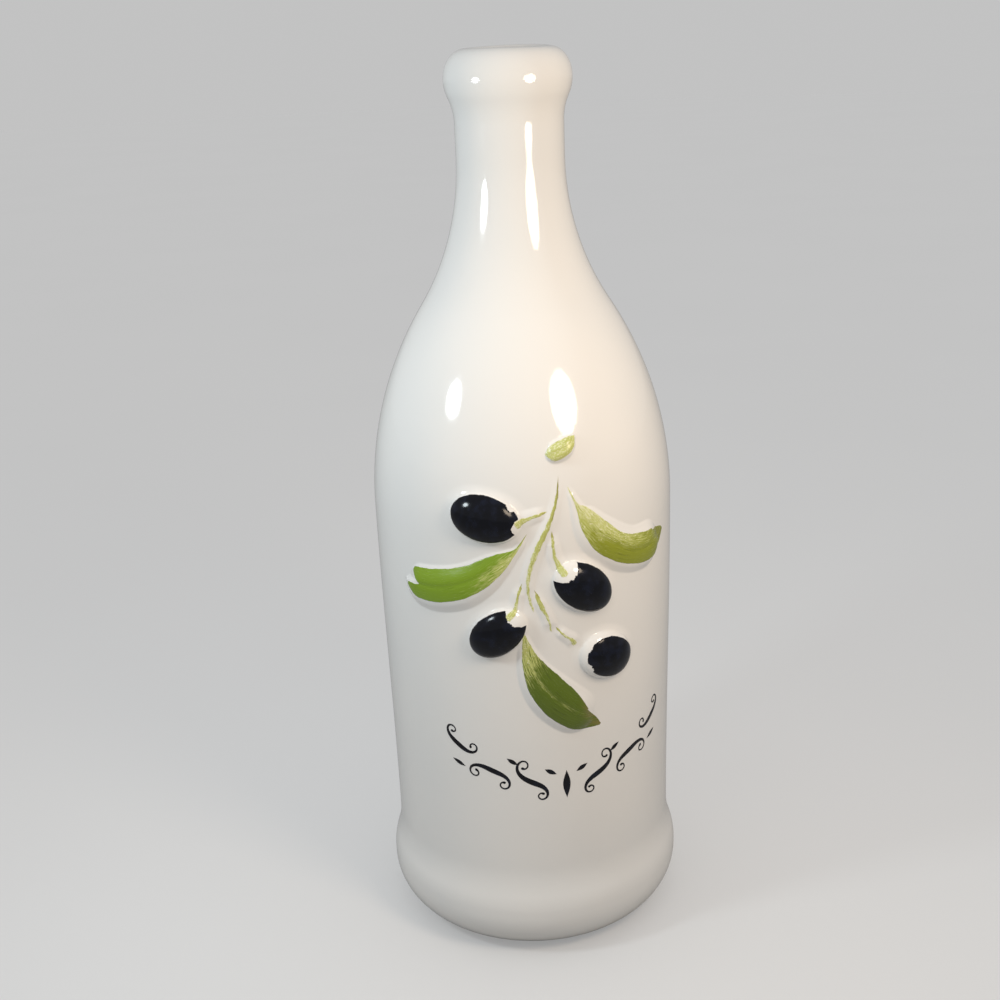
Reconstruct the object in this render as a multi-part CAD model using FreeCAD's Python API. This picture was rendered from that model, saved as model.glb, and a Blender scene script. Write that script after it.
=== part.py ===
"""A slip-cast ceramic oil bottle with an olive sprig in relief on its front.

Units are millimetres.  +Z is up, the bottle stands on z = 0 with its axis on Z,
and the sprig faces -Y.  The bottle is one fired piece, so it is one solid: a
turned outer form, the sprig raised on it, and a turned cavity taken out of both.
"""
import FreeCAD, Part
import math
import os

V = FreeCAD.Vector
AXIS = V(0, 0, 1)

# ---- Driving dimensions: heights above the table ----
height = 280.0            # to the crown of the lip
waist_height = 33.0       # narrowest place above the foot
shoulder_start = 144.0    # widest place of the body
neck_start = 248.8        # end of the shoulder
neck_end = 259.0          # start of the lip's swelling

# ---- Driving dimensions: radii of the outside ----
foot_radius = 48.4
foot_round = 16.0         # rounding of the bottom edge
foot_upright = 1.0        # upright stretch above the rounding
waist_radius = 45.7
body_radius = 47.05
neck_radius = 16.2
lip_radius = 19.85
lip_round = 7.0           # rounding of the lip's upper edge

# ---- Worked out ----
foot_widest = foot_round + foot_upright

# ---- How much of each swelling curve is its lower arc ----
foot_share = 0.41
shoulder_share = 0.585
lip_share = 0.57

# ---- Walls ----
wall = 5.0
mouth_radius = 10.5
floor_thickness = 7.0
floor_round = 12.0        # rounding inside the bottom corner
recess_depth = 2.0        # hollow under the bottom, inside the foot ring
foot_ring_width = 6.0     # flat of the foot ring

# ---- The sprig ----
# Places on the front are (across, height): across is measured round the body
# from the front line, at the widest body radius, and is positive to the right.
olive_sink = 2.8          # how far an olive's long axis lies under the surface
leaf_height = 2.2         # crown of a leaf above the surface
stem_height = 0.7         # crown of a stem above the surface
root_depth = 0.8          # how far leaves and stems reach into the wall
sections_per_leaf = 9
sections_per_stem = 5
tip_share = 0.12          # width left at the very tip of a leaf or stem

# centre, rise of the long axis from the blunt end to the stalk end in degrees,
# length of the blunt half, length of the stalk half, half width
olives = [
    ((-11.5, 152.5), -18.0, 10.5, 11.1, 7.5),
    ((16.4, 129.8), 142.0, 11.2, 10.4, 7.4),
    ((-9.2, 115.4), 38.0, 9.9, 10.4, 7.0),
    ((24.4, 104.9), 174.0, 9.6, 9.7, 7.8),
]

# midrib from the stalk to the tip, greatest half width, place of that width
leaves = [
    ([(0.6, 146.2), (-5.6, 137.4), (-16.0, 131.0), (-28.0, 127.6), (-39.4, 128.4)], 6.4, 0.64),
    ([(14.6, 157.0), (18.0, 148.0), (27.2, 139.6), (40.4, 135.4), (51.6, 138.6)], 6.2, 0.55),
    ([(-1.4, 116.5), (0.2, 105.8), (4.6, 96.2), (12.2, 87.2), (21.0, 82.4)], 6.4, 0.55),
    ([(7.0, 169.6), (12.2, 170.8), (17.2, 174.4)], 4.2, 0.48),
]

# path from the thick end to the thin end, half width at the thick end
stems = [
    ([(2.1, 122.4), (0.7, 130.5), (3.0, 141.0), (7.9, 151.5), (10.9, 163.6)], 2.1),
    ([(-2.4, 150.2), (2.2, 152.2), (7.0, 153.5)], 2.3),
    ([(11.2, 134.0), (8.8, 139.6), (8.1, 147.6)], 2.2),
    ([(-5.6, 121.4), (-2.8, 126.4), (-1.1, 131.8)], 2.1),
    ([(7.2, 115.6), (5.6, 122.0), (2.5, 129.6)], 1.9),
    ([(14.6, 110.4), (11.6, 114.0), (8.5, 117.2)], 2.0),
]


def ogee(start, end, first_share):
    """Two arcs of opposite curvature from start to end, upright at both ends.

    A place is (radius, height).  Returns the five places that fix the arcs.
    """
    (r0, z0), (r1, z1) = start, end
    turn = 2.0 * math.atan(abs(r1 - r0) / (z1 - z0))
    side = math.copysign(1.0, r1 - r0)
    both = (z1 - z0) / math.sin(turn)
    first = first_share * both
    second = both - first

    def on_first(angle):
        return r0 + side * first * (1.0 - math.cos(angle)), z0 + first * math.sin(angle)

    def on_second(angle):
        return r1 - side * second * (1.0 - math.cos(angle)), z1 - second * math.sin(angle)

    return start, on_first(turn / 2), on_first(turn), on_second(turn / 2), end


def at(place):
    return V(place[0], 0, place[1])


def line(a, b):
    return Part.LineSegment(at(a), at(b)).toShape()


def arc(a, middle, b):
    return Part.Arc(at(a), at(middle), at(b)).toShape()


def quarter(centre, radius, from_angle):
    """A quarter circle about centre, anticlockwise from from_angle in degrees."""
    turned = [math.radians(from_angle + step) for step in (0, 45, 90)]
    return arc(*[(centre[0] + radius * math.cos(t), centre[1] + radius * math.sin(t))
                 for t in turned])


def ogee_edges(start, end, first_share):
    a, b, c, d, e = ogee(start, end, first_share)
    return [arc(a, b, c), arc(c, d, e)]


def turned_solid(edges):
    """The solid that the closed outline of these edges sweeps round the axis."""
    outline = Part.Wire(Part.__sortEdges__(edges))
    return Part.Face(outline).revolve(V(0, 0, 0), AXIS, 360)


def outer_form():
    """The bottle's outside as a solid, closed across the mouth."""
    bottom_radius = foot_radius - foot_round
    recess_radius = bottom_radius - foot_ring_width
    crown = (lip_radius - lip_round, height)
    edges = [
        line((0, recess_depth), (recess_radius - recess_depth, recess_depth)),
        line((recess_radius - recess_depth, recess_depth), (recess_radius, 0)),
        line((recess_radius, 0), (bottom_radius, 0)),
        quarter((bottom_radius, foot_round), foot_round, -90),
        line((foot_radius, foot_round), (foot_radius, foot_widest)),
        *ogee_edges((foot_radius, foot_widest), (waist_radius, waist_height), foot_share),
        line((waist_radius, waist_height), (body_radius, shoulder_start)),
        *ogee_edges((body_radius, shoulder_start), (neck_radius, neck_start), shoulder_share),
        line((neck_radius, neck_start), (neck_radius, neck_end)),
        *ogee_edges((neck_radius, neck_end), (lip_radius, height - lip_round), lip_share),
        quarter((crown[0], height - lip_round), lip_round, 0),
        line(crown, (0, height)),
        line((0, height), (0, recess_depth)),
    ]
    return turned_solid(edges)


def cavity():
    """The space inside, with the mouth's rounded edge, up to above the lip."""
    mouth_round = lip_radius - lip_round - mouth_radius
    clear = height + mouth_round
    corner = (waist_radius - wall, floor_thickness + floor_round)
    edges = [
        line((0, floor_thickness), (corner[0] - floor_round, floor_thickness)),
        quarter((corner[0] - floor_round, corner[1]), floor_round, -90),
        line(corner, (body_radius - wall, shoulder_start)),
        *ogee_edges((body_radius - wall, shoulder_start), (mouth_radius, neck_start),
                    shoulder_share),
        line((mouth_radius, neck_start), (mouth_radius, height - mouth_round)),
        quarter((mouth_radius + mouth_round, height - mouth_round), mouth_round, 90),
        line((mouth_radius + mouth_round, height), (mouth_radius + mouth_round, clear)),
        line((mouth_radius + mouth_round, clear), (0, clear)),
        line((0, clear), (0, floor_thickness)),
    ]
    return turned_solid(edges)


def body_surface(z):
    """Radius of the outside at height z between the waist and the neck, and its slope."""
    if z <= shoulder_start:
        slope = (body_radius - waist_radius) / (shoulder_start - waist_height)
        return waist_radius + slope * (z - waist_height), slope
    start, _, joint, _, end = ogee((body_radius, shoulder_start), (neck_radius, neck_start),
                                   shoulder_share)
    turn = 2.0 * math.atan((body_radius - neck_radius) / (neck_start - shoulder_start))
    if z <= joint[1]:
        bend = (joint[1] - start[1]) / math.sin(turn)
        lean = math.asin((z - start[1]) / bend)
        return start[0] - bend * (1.0 - math.cos(lean)), -math.tan(lean)
    bend = (end[1] - joint[1]) / math.sin(turn)
    lean = math.asin((end[1] - z) / bend)
    return end[0] + bend * (1.0 - math.cos(lean)), -math.tan(lean)


def on_front(across, z):
    """The place on the outside, its outward normal and its direction to the right."""
    radius, slope = body_surface(z)
    angle = across / body_radius
    outward = V(math.sin(angle), -math.cos(angle), 0)
    right = V(math.cos(angle), math.sin(angle), 0)
    place = outward * radius + AXIS * z
    normal = (outward - AXIS * slope).normalize()
    return place, normal, right


def olive(centre, rise, blunt_half, stalk_half, half_width):
    """An olive: two half ellipses of unequal length turned about its long axis."""
    def half(length, first, last):
        curve = Part.Ellipse(V(0, 0, 0), max(length, half_width), min(length, half_width))
        return Part.Arc(curve, first, last).toShape()

    outline = Part.Wire([
        half(stalk_half, 0, math.pi / 2),
        half(blunt_half, math.pi / 2, math.pi),
        Part.LineSegment(V(-blunt_half, 0, 0), V(stalk_half, 0, 0)).toShape(),
    ])
    solid = Part.Face(outline).revolve(V(0, 0, 0), V(1, 0, 0), 360)
    place, normal, right = on_front(*centre)
    up = normal.cross(right)
    tilt = math.radians(rise)
    along = right * math.cos(tilt) + up * math.sin(tilt)
    turn = FreeCAD.Rotation(along, normal.cross(along), normal, "XZY")
    solid.Placement = FreeCAD.Placement(place - normal * olive_sink, turn)
    return solid


def ridge(path, half_width_at, crown_at, stations):
    """A low rounded ridge lofted along a path on the front, between root and crown."""
    midrib = Part.BSplineCurve()
    midrib.interpolate([V(across, z, 0) for across, z in path])
    sections = []
    for step in range(stations):
        share = step / (stations - 1)
        parameter = midrib.FirstParameter + share * (midrib.LastParameter - midrib.FirstParameter)
        spot = midrib.value(parameter)
        heading = V(*midrib.tangent(parameter)[0])
        place, normal, right = on_front(spot.x, spot.y)
        along = right * heading.x + normal.cross(right) * heading.y
        side = along.cross(normal).normalize() * half_width_at(share)
        left_foot = place - side - normal * root_depth
        right_foot = place + side - normal * root_depth
        crown = place + normal * crown_at(share)
        sections.append(Part.Wire([
            Part.Arc(left_foot, crown, right_foot).toShape(),
            Part.LineSegment(right_foot, left_foot).toShape(),
        ]))
    return Part.makeLoft(sections, True)


def leaf(path, half_width, widest):
    """A leaf: widest at its own place along the midrib and drawn in to both tips."""
    power = math.log(0.5) / math.log(widest)

    def swell(share):
        return tip_share + (1.0 - tip_share) * math.sin(math.pi * share ** power) ** 0.8

    return ridge(path, lambda share: half_width * swell(share),
                 lambda share: leaf_height * swell(share), sections_per_leaf)


def stem(path, half_width):
    """A stem: thick where it joins its fruit and drawn out to a thin end."""
    def taper(share):
        return 1.0 - 0.6 * share

    return ridge(path, lambda share: half_width * taper(share),
                 lambda share: stem_height * taper(share), sections_per_stem)


def sprig():
    """Everything raised on the front, before it joins the outer form."""
    return ([olive(*one) for one in olives] + [leaf(*one) for one in leaves]
            + [stem(*one) for one in stems])


def bottle():
    clay = outer_form().fuse(sprig())
    return clay.cut(cavity())


os.makedirs("parts", exist_ok=True)
shape = bottle()
solids = shape.Solids
print("solids", len(solids), "valid", shape.isValid(), "volume cm3", round(shape.Volume / 1000, 1))
solids[0].exportStep("parts/bottle.step")
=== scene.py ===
"""Looks of a white glazed oil bottle with an olive sprig in relief, painted by hand in enamel."""
import math

import bmesh
import bpy
import numpy as np
from mathutils import Matrix, Vector


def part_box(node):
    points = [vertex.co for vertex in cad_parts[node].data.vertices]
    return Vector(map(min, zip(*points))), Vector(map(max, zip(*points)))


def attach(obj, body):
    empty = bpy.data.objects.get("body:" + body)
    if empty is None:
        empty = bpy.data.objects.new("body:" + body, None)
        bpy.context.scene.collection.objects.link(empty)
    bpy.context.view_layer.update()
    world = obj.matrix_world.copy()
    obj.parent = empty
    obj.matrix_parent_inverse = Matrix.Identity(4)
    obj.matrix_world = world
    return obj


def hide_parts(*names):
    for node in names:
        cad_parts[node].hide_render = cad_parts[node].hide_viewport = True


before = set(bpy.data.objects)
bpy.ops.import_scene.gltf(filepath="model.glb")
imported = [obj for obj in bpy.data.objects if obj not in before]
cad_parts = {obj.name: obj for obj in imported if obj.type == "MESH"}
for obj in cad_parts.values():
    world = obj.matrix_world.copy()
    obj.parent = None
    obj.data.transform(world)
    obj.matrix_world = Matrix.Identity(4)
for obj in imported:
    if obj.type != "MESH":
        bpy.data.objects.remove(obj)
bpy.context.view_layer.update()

bl_info = {
    "name": "Olive Sprig Oil Bottle",
    "version": (1, 0, 0),
    "blender": (4, 5, 0),
    "location": "View3D > Sidebar > Oil Bottle",
    "description": "Builds a ceramic oil bottle: glazed body, painted enamel, studio",
    "category": "Add Mesh",
}

MM = 0.001
BODY = "root"
NODE = "bottle"
NODE_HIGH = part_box(NODE)[1]

# ---- Outline of the turned body, heights and radii in millimetres ----
FOOT_WIDEST = 17.0
FOOT_ROUND = 16.0
WAIST_HEIGHT = 33.0
SHOULDER_START = 144.0
NECK_START = 248.8
NECK_END = 259.0
LIP_ROUND = 6.6  # reach of the lip's rounding in from its widest place
LIP_FALL = 8.5  # and down from its crown
FOOT_SHARE = 0.41  # share of each swelling curve that is its lower arc
SHOULDER_SHARE = 0.585
LIP_SHARE = 0.57
FLOOR_THICKNESS = 7.0
FLOOR_ROUND = 12.0
RECESS_DEPTH = 2.0
FOOT_RING_WIDTH = 6.0
RING_EDGE = (0.6, 0.25)  # width and height of the foot ring's broken inner edge
RING_CREASE = (-0.5, 0.3)  # close rings of corners that keep its outer edge crisp
BARE_HEIGHT = 0.2  # the foot ring is bare clay below this height
AROUND = 144  # faces round the turned body
WELD = 0.002  # corners nearer than this are one
SKIN = 1.5  # corners nearer than this to the outline are outside
# each refinement of the front: how far round a face it looks for relief, and how high
REFINEMENTS = ((3.0, 0.002), (1.2, 0.004), (0.5, 0.02))

# ---- The sprig.  A place is (across, height): millimetres round the body from the
# ---- front line, positive to the right, and millimetres above the table.
# name, centre, rise of the long axis in degrees from blunt end to stalk end,
# blunt half, stalk half, half width
OLIVES = [
    ("left_top", (-11.6, 151.8), -13.0, 10.6, 11.1, 7.4),
    ("right", (16.8, 129.1), 142.0, 11.0, 10.2, 7.3),
    ("left_low", (-8.9, 115.7), 38.0, 9.8, 10.3, 6.9),
    ("right_low", (24.7, 105.0), 157.0, 9.3, 9.4, 7.7),
]
# Enamel of each olive: blunt half, stalk half, half width, shift to its side, then the
# places that the brush left bare: along the axis, beside it, radius
OLIVE_PAINT = [
    (9.9, 10.5, 6.8, 0.35, [(11.2, -0.2, 2.6), (7.4, 5.6, 1.5)]),
    (10.6, 10.2, 6.8, -0.25, [(10.2, -2.0, 4.9)]),
    (9.4, 10.0, 6.4, 0.1, [(10.7, 1.4, 4.5)]),
    (9.3, 7.6, 6.5, -0.1, [(6.6, 6.4, 2.9), (8.4, -1.5, 1.4)]),
]
# name, upper and lower edge of the enamel from stalk to tip, how far the relief shows
# below the enamel, where the tip is notched (0 lower edge, 1 upper edge), how wide (as a
# share of the leaf's width) and how deep
LEAVES = [
    ("left",
     [(0.9, 147.2), (-3.2, 142.6), (-10.2, 140.4), (-18.4, 136.6), (-27.0, 134.4),
      (-37.4, 133.0)],
     [(0.7, 146.8), (-2.8, 140.8), (-7.8, 134.0), (-15.4, 128.0), (-25.0, 124.4),
      (-34.6, 123.8), (-39.6, 127.2)], 3.0, 0.5, 0.17, 5.4),
    ("right",
     [(13.6, 160.2), (16.2, 155.0), (19.4, 153.3), (24.6, 148.6), (31.2, 143.1),
      (38.6, 141.2), (44.4, 140.8)],
     [(13.4, 160.0), (15.5, 153.6), (17.0, 146.6), (21.6, 139.2), (30.6, 133.6),
      (40.6, 131.4), (49.6, 133.2), (53.9, 138.2)], 1.2, 0.84, 0.12, 1.8),
    ("low",
     [(-1.0, 116.6), (0.8, 112.0), (3.8, 107.0), (9.8, 100.3), (14.8, 94.4), (17.8, 88.9)],
     [(-1.4, 116.4), (-1.8, 106.4), (-0.3, 97.4), (3.8, 90.0), (9.5, 84.5), (16.0, 81.4),
      (23.7, 81.3)], 1.2, 0.76, 0.12, 2.4),
    ("bud",
     [(7.2, 170.0), (9.2, 172.4), (13.0, 173.9), (17.0, 174.5)],
     [(7.3, 169.7), (9.8, 167.8), (13.6, 169.0), (16.2, 171.4), (17.0, 174.3)],
     0.9, 0.5, 0.17, 0.0),
]
# name, path from the foot to the thin end, half width, where the brush pressed hardest
STEMS = [
    ("main", [(2.1, 122.4), (0.7, 128.6), (1.0, 134.5), (3.4, 141.8), (7.0, 149.2),
              (9.8, 156.8), (10.9, 163.6)], 0.64, 0.50),
    ("olive_left_top", [(-2.4, 150.2), (0.6, 151.6), (3.8, 152.6), (7.0, 153.5)], 0.92, 0.04),
    ("olive_right", [(11.2, 134.0), (9.7, 137.0), (8.5, 140.5), (8.1, 147.6)], 0.85, 0.08),
    ("olive_left_low", [(-5.6, 121.4), (-3.3, 123.8), (-2.5, 127.4), (-1.1, 131.8)], 0.76, 0.06),
    ("small", [(7.2, 115.6), (6.3, 120.0), (4.2, 124.8), (2.5, 129.6)], 0.55, 0.66),
    ("olive_right_low", [(14.6, 110.4), (13.2, 112.4), (10.6, 114.6), (8.5, 117.2)], 0.62, 0.05),
]
# of each kind: height of its crown, how roundly it joins what it lies on, and how steeply
# it falls away outside its rim
OLIVE_CROWN, OLIVE_BLEND, OLIVE_FALL = 4.3, 2.3, 0.9
LEAF_CROWN, LEAF_BLEND, LEAF_FALL = 2.2, 1.1, 0.6
STEM_CROWN, STEM_BLEND, STEM_FALL = 0.6, 1.2, 0.3
LEAF_MARGIN = 0.3  # how much wider the relief is than a leaf's enamel
STEM_MARGIN = 1.3  # and than a stem's, to each side
RIB_DEPTH, RIB_WIDTH = 0.2, 0.8  # groove on a leaf's midrib
END_SINK = 0.9  # how deep the thin ends dip into the body
OLIVE_REACH = 17.0  # an olive is worked out this far from its centre
PATH_REACH = 9.0  # and a leaf or stem from its path's box

# ---- The enamel.  Of each kind: slot, share of the full thickness, width of its rounded edge
FILMS = {
    "olive": ("black_enamel", 1.0, 0.5),
    "leaf": ("green_enamel", 0.6, 0.35),
    "stem": ("green_enamel", 0.6, 0.25),
    "scroll": ("black_enamel", 0.7, 0.2),
}
FILM_DEPTH = 0.2  # how far each film reaches down into the glaze
EDGE_DIP = 0.03  # and how far its very edge lies below the surface
OLIVE_GRID = (34, 240)  # faces from the middle to the edge, and round it
LEAF_GRID, BUD_GRID = (190, 48), (80, 30)  # corners along and across
TIP_CORNERS = 0.9  # how far a notched leaf's enamel is rounded at the tip
OLIVE_SEED, LEAF_SEED, STEM_SEED = 11, 31, 61
# name, colour setting, share of dark streaks, reach of the pale stalk end, paleness of the
# upper side (greener below 0), painted highlight along the midrib, brown at the tip, dryness
LOOKS = {
    "left": ("green", 0.0, 0.68, -0.40, 0.0, 0.0, 0.0),
    "right": ("green_olive", 0.04, 0.54, 0.70, 0.0, 0.35, 0.06),
    "low": ("green_dark", 0.04, 0.54, 0.0, 0.20, 0.8, 0.0),
    "bud": ("green_young", -0.1, 1.8, 0.3, 0.0, 0.0, 0.07),
    "stem": ("green_young", 0.10, 1.2, 0.10, 0.0, 0.80, 0.06),
}
TIP_BROWN = (0.21, 0.18, 0.045)
SPECK_BROWN = (0.16, 0.12, 0.08)
CLAY_DARK, CLAY_PALE = (0.60, 0.53, 0.43), (0.72, 0.66, 0.56)

# ---- The studio, in metres
# name, place, width, height, power in watts, colour
LAMPS = [
    ("lamp_right", (0.136, -0.189, 0.268), 0.092, 0.096, 0.345, (1.0, 0.82, 0.63)),
    ("lamp_left", (-0.200, -0.133, 0.265), 0.052, 0.052, 0.265, (0.86, 0.96, 1.0)),
]
LAMP_AIM = (0.0, 0.0, 0.19)
AMBIENT = 0.42  # strength of the soft light all round
OVERHEAD = 0.23  # and of the wide light from above, as the floor receives it
OVERHEAD_ANGLE = math.radians(75.0)
FLOOR_GLOW = 0.25  # lift of the floor and backdrop for the camera alone
FLOOR_RADIUS = 4.0


# ---- properties ----

def number(name, description, default, unit="LENGTH"):
    """A setting of the panel, in metres unless another unit is named."""
    return bpy.props.FloatProperty(
        name=name, description=description, default=default, unit=unit)


def tint(name, description, default):
    """A colour of the panel."""
    return bpy.props.FloatVectorProperty(
        name=name, description=description, default=default, subtype="COLOR")


class BottleForm(bpy.types.PropertyGroup):
    """Sizes of the turned ceramic body."""
    height: number("Height", "Height to the crown of the lip", NODE_HIGH[2])
    foot_radius: number("Foot Radius", "Radius at the widest place of the foot", NODE_HIGH[0])
    waist_radius: number("Waist Radius", "Radius just above the foot", 45.7 * MM)
    body_radius: number("Body Radius", "Radius where the shoulder starts", 47.05 * MM)
    neck_radius: number("Neck Radius", "Radius of the slim neck", 16.2 * MM)
    lip_radius: number("Lip Radius", "Radius of the beaded lip", 18.95 * MM)
    mouth_radius: number("Mouth Radius", "Radius of the open mouth", 10.5 * MM)
    wall: number("Wall", "Thickness of the ceramic wall", 5.0 * MM)
    unevenness: number(
        "Unevenness", "How far the hand-finished form strays from round", 0.18 * MM)


class EnamelPaint(bpy.types.PropertyGroup):
    """Thickness and colours of the painted enamel."""
    thickness: number("Thickness", "Height of the enamel above the glaze", 0.12 * MM)
    black: tint("Black", "Enamel of the olives and the scroll", (0.0030, 0.0034, 0.0060))
    green: tint("Green", "Body colour of the left leaf", (0.195, 0.31, 0.016))
    green_olive: tint("Olive Green", "Body colour of the right leaf", (0.25, 0.285, 0.020))
    green_dark: tint("Dark Green", "Body colour of the low leaf", (0.094, 0.140, 0.008))
    green_young: tint("Young Green", "Body colour of the bud and the stems", (0.43, 0.44, 0.12))
    green_pale: tint("Pale Green", "Thin dry strokes", (0.50, 0.53, 0.17))


class StudioSettings(bpy.types.PropertyGroup):
    """Glaze, floor and camera."""
    glaze: tint("Glaze", "Colour of the white glaze", (0.80, 0.785, 0.76))
    floor: tint("Floor", "Colour of the floor and the backdrop", (0.45, 0.45, 0.45))
    camera_distance: number("Camera Distance", "From the bottle's axis, level", 424.2 * MM)
    camera_height: number("Camera Height", "Above the table", 291.7 * MM)
    camera_pitch: number(
        "Camera Pitch", "How far the camera looks down", math.radians(19.53), "ROTATION")
    camera_yaw: number(
        "Camera Yaw", "Turn of the camera about the vertical", math.radians(-0.98), "ROTATION")
    camera_roll: number(
        "Camera Roll", "Turn of the camera about its view", math.radians(-2.36), "ROTATION")
    camera_lens: number("Lens", "Focal length", 50.4, "CAMERA")


# ---- numbers and paths ----

def ramp(value, start, end, least=0.0):
    """Rises evenly from the least value at the start to 1 at the end."""
    return np.clip((value - start) / (end - start), least, 1.0)


def run_lengths(points):
    """Length along a line of points, up to each of them."""
    steps = np.linalg.norm(np.diff(np.asarray(points, float), axis=0), axis=1)
    return np.concatenate([[0.0], np.cumsum(steps)])


# ---- outline of the body ----

class Ogee:
    """Two arcs of opposite curvature from start to end, upright at both ends."""

    def __init__(self, start, end, first_share):
        self.start, self.end = start, end
        self.turn = 2.0 * math.atan(abs(end[0] - start[0]) / (end[1] - start[1]))
        self.side = math.copysign(1.0, end[0] - start[0])
        both = (end[1] - start[1]) / math.sin(self.turn)
        self.first = first_share * both
        self.second = both - self.first
        self.joint = start[1] + self.first * math.sin(self.turn)

    def radius(self, z):
        z = np.asarray(z, float)
        low = np.clip(z - self.start[1], 0.0, self.first)
        high = np.clip(self.end[1] - z, 0.0, self.second)
        lower = self.start[0] + self.side * (self.first - np.sqrt(self.first ** 2 - low ** 2))
        upper = self.end[0] - self.side * (self.second - np.sqrt(self.second ** 2 - high ** 2))
        return np.where(z < self.joint, lower, upper)

    def points(self, step):
        count = max(4, round((self.end[1] - self.start[1]) / step))
        heights = np.linspace(self.start[1], self.end[1], count + 1)[1:]
        return list(zip(self.radius(heights), heights))


def quarter_points(centre, radius, from_degrees, count, way=1, rise=None):
    """Places on a quarter circle, or ellipse of the given rise, without its first one."""
    angles = [math.radians(from_degrees + way * 90.0 * i / count) for i in range(1, count + 1)]
    return [(centre[0] + radius * math.cos(a), centre[1] + (rise or radius) * math.sin(a))
            for a in angles]


def line_points(start, end, step):
    """Evenly spaced places on a line, without its first one."""
    count = max(1, round(math.dist(start, end) / step))
    return [(start[0] + (end[0] - start[0]) * i / count,
             start[1] + (end[1] - start[1]) * i / count) for i in range(1, count + 1)]


def shoulder(form):
    return Ogee((form.body_radius / MM, SHOULDER_START), (form.neck_radius / MM, NECK_START),
                SHOULDER_SHARE)


def body_radius_at(form, z):
    """Radius of the outside in millimetres, from the waist to the neck."""
    z = np.asarray(z, float)
    share = ramp(z, WAIST_HEIGHT, SHOULDER_START)
    ease = share * share * (3.0 - 2.0 * share)
    waist = form.waist_radius / MM
    straight = waist + (form.body_radius / MM - waist) * ease
    return np.where(z < SHOULDER_START, straight, shoulder(form).radius(z))


def wall_section(form):
    """The outline of the wall, from the middle of the underside round to the inner floor.

    The last number of a line or an arc is the spacing of its rings or their count.
    """
    foot, lip = form.foot_radius / MM, form.lip_radius / MM
    waist, mouth = form.waist_radius / MM, form.mouth_radius / MM
    wall, neck, top = form.wall / MM, form.neck_radius / MM, form.height / MM
    bottom = foot - FOOT_ROUND
    recess = bottom - FOOT_RING_WIDTH
    crown = lip - LIP_ROUND
    section = [(0.0, RECESS_DEPTH)]
    section += line_points(section[-1], (recess - RECESS_DEPTH, RECESS_DEPTH), 6.0)
    section += line_points(section[-1], (recess, RING_EDGE[1]), 1.0)
    section += [(recess + RING_EDGE[0], 0.0)]
    section += [(bottom + shift, 0.0) for shift in RING_CREASE]
    section += quarter_points((bottom, FOOT_ROUND), FOOT_ROUND, -90, 20)[1:]
    section += Ogee((foot, FOOT_WIDEST), (waist, WAIST_HEIGHT), FOOT_SHARE).points(1.1)
    heights = np.arange(WAIST_HEIGHT + 2.0, SHOULDER_START, 2.2)
    section += list(zip(body_radius_at(form, heights), heights))
    section += [(form.body_radius / MM, SHOULDER_START)]
    section += shoulder(form).points(2.0)
    section += line_points((neck, NECK_START), (neck, NECK_END), 2.5)
    section += Ogee((neck, NECK_END), (lip, top - LIP_FALL), LIP_SHARE).points(0.8)
    section += quarter_points((crown, top - LIP_FALL), LIP_ROUND, 0, 18, rise=LIP_FALL)
    inner_round = crown - mouth
    section += quarter_points((crown, top - inner_round), inner_round, 90, 8)
    section += line_points((mouth, top - inner_round), (mouth, NECK_START), 6.0)
    cavity = Ogee((form.body_radius / MM - wall, SHOULDER_START), (mouth, NECK_START),
                  SHOULDER_SHARE)
    section += list(reversed(cavity.points(5.0)))[1:] + [cavity.start]
    corner = (waist - wall, FLOOR_THICKNESS + FLOOR_ROUND)
    section += line_points(cavity.start, corner, 10.0)
    section += quarter_points((corner[0] - FLOOR_ROUND, corner[1]), FLOOR_ROUND, 0, 8, way=-1)
    section += line_points(section[-1], (0.0, FLOOR_THICKNESS), 8.0)
    return section


# ---- paths on the front ----

def smooth_path(points, count):
    """A smooth curve through the points, sampled evenly by length."""
    knots = np.array(points, float)
    padded = np.concatenate([[2 * knots[0] - knots[1]], knots, [2 * knots[-1] - knots[-2]]])
    fine = []
    for i in range(1, len(padded) - 2):
        a, b, c, d = padded[i - 1:i + 3]
        t = np.linspace(0.0, 1.0, 33)[:-1, None]
        fine.append(0.5 * (2 * b + (c - a) * t + (2 * a - 5 * b + 4 * c - d) * t ** 2
                           + (3 * b - a - 3 * c + d) * t ** 3))
    fine = np.concatenate(fine + [padded[-2:-1]])
    lengths = run_lengths(fine)
    places = np.linspace(0.0, lengths[-1], count)
    return np.stack([np.interp(places, lengths, fine[:, k]) for k in (0, 1)], axis=1)


def path_sides(path):
    """The direction to the left of travel at each place of a path."""
    ahead = np.gradient(path, axis=0)
    ahead /= np.linalg.norm(ahead, axis=1)[:, None]
    return np.stack([-ahead[:, 1], ahead[:, 0]], axis=1)


def nearest_on_path(path, across, z):
    """For each place: share along the path, distance from it, and how far to its left."""
    start, run = path[:-1], np.diff(path, axis=0)
    long2 = (run ** 2).sum(axis=1)
    off_x = across[:, None] - start[None, :, 0]
    off_z = z[:, None] - start[None, :, 1]
    t = np.clip((off_x * run[:, 0] + off_z * run[:, 1]) / long2, 0.0, 1.0)
    gap_x, gap_z = off_x - t * run[:, 0], off_z - t * run[:, 1]
    gap2 = gap_x ** 2 + gap_z ** 2
    best = gap2.argmin(axis=1)
    row = np.arange(len(across))
    beside = run[best, 0] * off_z[row, best] - run[best, 1] * off_x[row, best]
    return ((best + t[row, best]) / len(run), np.sqrt(gap2[row, best]),
            beside / np.sqrt(long2[best]))


def smooth_max(a, b, blend):
    """The greater of two heights, rounded over where they cross."""
    near = np.clip(blend - np.abs(a - b), 0.0, None) / blend
    return np.maximum(a, b) + near * near * blend / 4.0


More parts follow.
